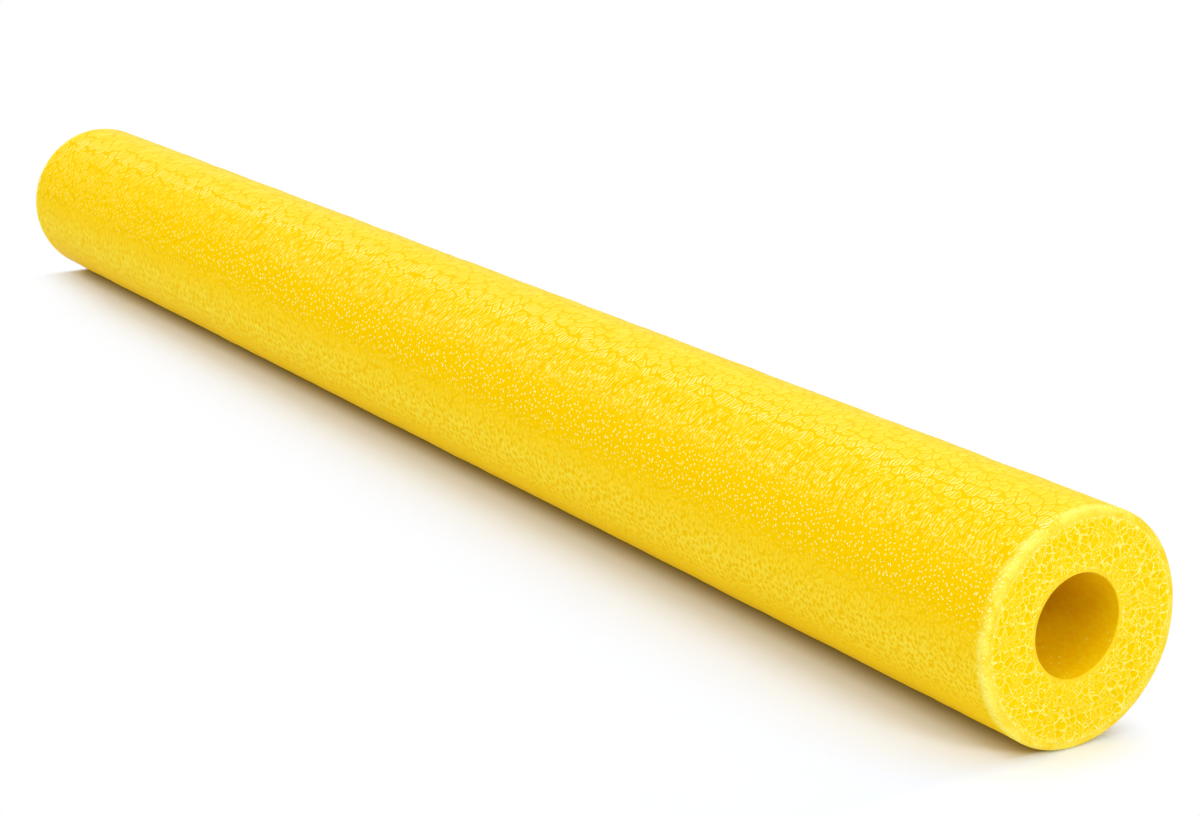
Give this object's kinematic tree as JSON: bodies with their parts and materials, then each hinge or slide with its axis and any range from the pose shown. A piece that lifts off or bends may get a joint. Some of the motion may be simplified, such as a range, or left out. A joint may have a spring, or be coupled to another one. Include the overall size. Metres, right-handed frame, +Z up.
{
  "type": "pool noodle",
  "caption": "Straight foam pool noodle: a yellow closed-cell foam tube with a pebbled outer skin, square-cut cellular ends and an open round bore along its length.",
  "frame": {"origin": "under the middle of the noodle, on the surface it lies on", "axes": "+X along the noodle towards the end whose bore the picture shows, +Z up"},
  "size_m": [0.66, 0.065, 0.0648],
  "materials": {
    "skin_foam": "satin",
    "core_foam": "matte",
    "bore_foam": "satin"
  },
  "bodies": {
    "root": {"outer_skin": "skin_foam", "foam_core": "core_foam", "bore_skin": "bore_foam"}
  },
  "joints": []
}
